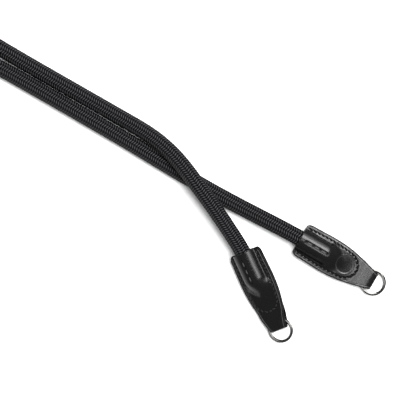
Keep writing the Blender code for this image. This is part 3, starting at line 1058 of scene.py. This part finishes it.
def splitRing(side):
    radius = ring["outer"] - ring["wireWidth"] / 2
    end = 4 * math.pi - ring["jog"] - ring["endGap"]
    steps = int(round(end / (2 * math.pi) * ring["stepsEachTurn"]))
    bpy.ops.object.select_all(action="DESELECT")
    bpy.ops.mesh.primitive_circle_add(
        vertices=18, radius=0.5, location=(radius, 0, 0), rotation=(math.pi / 2, 0, 0),
    )
    obj = bpy.context.object
    obj.name = "splitRing" + side.title()
    obj.data.name = obj.name
    obj.scale = (ring["wireWidth"], ring["wireHeight"], 1)
    bpy.ops.object.transform_apply(location=True, rotation=True, scale=True)
    for vertex in obj.data.vertices:
        share = 2 * abs(vertex.co.z) / ring["wireHeight"]
        vertex.co.x = radius + (vertex.co.x - radius) * (1 - ring["taper"] * share**4)
    section = len(obj.data.vertices)
    bpy.ops.object.mode_set(mode="EDIT")
    bpy.ops.mesh.select_all(action="SELECT")
    bpy.ops.mesh.spin(steps=steps, angle=end, center=(0, 0, 0), axis=(0, 0, 1))
    bpy.ops.object.mode_set(mode="OBJECT")
    halfPitch = (ring["wireHeight"] + ring["turnGap"]) / 2
    for index, vertex in enumerate(obj.data.vertices):
        a = end * (index // section) / steps
        climb = float(smoothStep((a - 2 * math.pi + ring["jog"]) / ring["jog"]))
        vertex.co.z += halfPitch * (2 * climb - 1)
    bpy.ops.object.mode_set(mode="EDIT")
    bpy.ops.mesh.select_all(action="SELECT")
    bpy.ops.mesh.fill_holes(sides=0)
    bpy.ops.mesh.select_all(action="SELECT")
    bpy.ops.mesh.normals_make_consistent(inside=False)
    bpy.ops.object.mode_set(mode="OBJECT")
    obj.data.materials.append(metalFinish)
    slid = places[side]["ringShift"]
    spot = Matrix.Translation((ringCentre + slid[0], slid[1], 0))
    turn = Matrix.Rotation(math.radians(places[side]["jogAt"]), 4, "Z")
    obj.data.transform(tabPlace(side) @ spot @ turn)
    bpy.ops.object.shade_smooth_by_angle(angle=math.radians(35))
    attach(obj, "root")
    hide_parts("split_ring_" + side)
    print(obj.name, "wound,", len(obj.data.polygons), "faces")


for side in places:
    splitRing(side)


# the surface it lies on, and the light

studio = {
    "surface": (0.86, 0.86, 0.86),     # to the camera
    "bounced": (0.40, 0.40, 0.40),     # onto the undersides
    "mirrored": (0.06, 0.06, 0.06),    # in the gloss of what lies on it
    "card": (0.38, 0.38, 0.38),        # the same beside the left tab
    "cardAcross": ((-0.583, -0.812), (0.005, 0.025), (0.0, 1.0)),  # way, where it rises, values
    "cardAlong": ((0.812, -0.583), (0.025, 0.045), (1.0, 0.0)),
    "world": 0.15,
    "aimedAt": Vector((0.02, 0, 0)),
    "lights": {
        "key": {
            "towards": (0.26, 0.965), "tilt": 19, "away": 1.6, "size": (1.0, 1.0), "power": 60,
            "only": "diffuse",
        },
        "ceiling": {
            "towards": (0.0, 1.0), "tilt": 0, "away": 2.4, "size": (2.6, 2.6), "power": 30,
            "only": "diffuse",
        },
        "softbox": {
            "towards": (0.05, 1.0), "tilt": 34, "away": 1.3, "size": (0.90, 0.60), "power": 15,
            "only": "glossy", "on": ("leatherTabRight", "splitRingRight", "centreStitchesRight"),
        },
        "softboxGlow": {
            "towards": (0.05, 1.0), "tilt": 54, "away": 1.3, "size": (0.90, 0.90), "power": 6,
            "only": "glossy", "on": ("leatherTabRight",),
        },
        "window": {
            "towards": (-1.0, 0.0), "tilt": 10.5, "away": 2.4, "size": (0.45, 1.5), "power": 16,
            "only": "glossy", "on": ("leatherTabRight", "edgeStitchesRight"),
        },
        "sideBox": {
            "towards": (0.58, 0.81), "tilt": 47, "away": 1.3, "size": (0.8, 0.46), "power": 5.8,
            "only": "glossy",
            "on": ("leatherTabLeft", "splitRingLeft", "edgeStitchesLeft", "centreStitchesLeft"),
        },
        "sideGlow": {
            "towards": (0.58, 0.81), "tilt": 50, "away": 1.3, "size": (1.1, 1.2), "power": 7.0,
            "only": "glossy", "on": ("leatherTabLeft", "splitRingLeft"),
        },
        "ringLight": {
            "towards": (-0.583, -0.812), "tilt": 24, "away": 1.2, "size": (0.7, 0.7), "power": 3.6,
            "only": "glossy", "on": ("splitRingRight", "splitRingLeft"),
        },
    },
}


def addLight(name, values):
    # an area light that faces the tabs, tilted off the vertical; on names the pieces that it lights
    tilt = math.radians(values["tilt"])
    x, y = Vector(values["towards"]).normalized()
    way = Vector((x * math.sin(tilt), y * math.sin(tilt), math.cos(tilt)))
    bpy.ops.object.light_add(type="AREA", location=studio["aimedAt"] + way * values["away"])
    light = bpy.context.object
    light.name = name
    light.data.shape = "RECTANGLE"
    light.data.size, light.data.size_y = values["size"]
    light.data.energy = values["power"]
    light.visible_glossy = values["only"] == "glossy"
    light.visible_diffuse = values["only"] == "diffuse"
    light.rotation_euler = way.to_track_quat("Z", "Y").to_euler()
    if "on" in values:
        lit = bpy.data.collections.new("litBy" + name.title())
        for piece in values["on"]:
            lit.objects.link(bpy.data.objects[piece])
        light.light_linking.receiver_collection = lit


for name, values in studio["lights"].items():
    addLight(name, values)

def softStep(tree, parts, y, way, rising, values):
    # from one value to the other along one way on the surface
    over = maths(tree, "MULTIPLY", (-1600, y), parts.outputs["X"], way[0])
    reach = maths(tree, "MULTIPLY_ADD", (-1400, y), parts.outputs["Y"], way[1], over)
    return mapRange(tree, (-1200, y), reach, *values, *rising)


bpy.ops.object.select_all(action="DESELECT")
bpy.ops.mesh.primitive_plane_add(size=12, location=(0, 0, 0))
surface = bpy.context.object
surface.name = "whiteSurface"
surface.location.z = -0.00005
surfaceFinish, surfaceTree, surfaceShader = newMaterial("whitePaper", studio["surface"], 0.9)
surfaceShader.inputs["Specular IOR Level"].default_value = 0.1
# white to the camera, less so to what lies on it, and dim in its gloss but for the card
spot = surfaceTree.nodes.new("ShaderNodeSeparateXYZ")
spot.location = (-1800, 0)
surfaceTree.links.new(objectPoint(surfaceTree), spot.inputs[0])
card = maths(
    surfaceTree, "MULTIPLY", (-1000, 0),
    softStep(surfaceTree, spot, 100, *studio["cardAcross"]),
    softStep(surfaceTree, spot, -100, *studio["cardAlong"]),
)
mirrored = mixColours(surfaceTree, (-700, 0), card, studio["mirrored"], studio["card"])
ray = surfaceTree.nodes.new("ShaderNodeLightPath")
ray.location = (-800, 300)
onto = ray.outputs["Is Diffuse Ray"]
lit = mixColours(surfaceTree, (-600, 400), onto, studio["surface"], studio["bounced"])
dim = mixColours(surfaceTree, (-400, 200), ray.outputs["Is Glossy Ray"], lit, mirrored)
surfaceTree.links.new(dim, surfaceShader.inputs["Base Color"])
surface.data.materials.append(surfaceFinish)

world = bpy.context.scene.world or bpy.data.worlds.new("studio")
bpy.context.scene.world = world
world.use_nodes = True
background = world.node_tree.nodes["Background"]
background.inputs["Color"].default_value = (1, 1, 1, 1)
background.inputs["Strength"].default_value = studio["world"]
bpy.context.scene.view_settings.view_transform = "Standard"
bpy.context.scene.view_settings.look = "None"
print("studio lit")

for obj in bpy.context.scene.objects:
    obj.select_set(False)
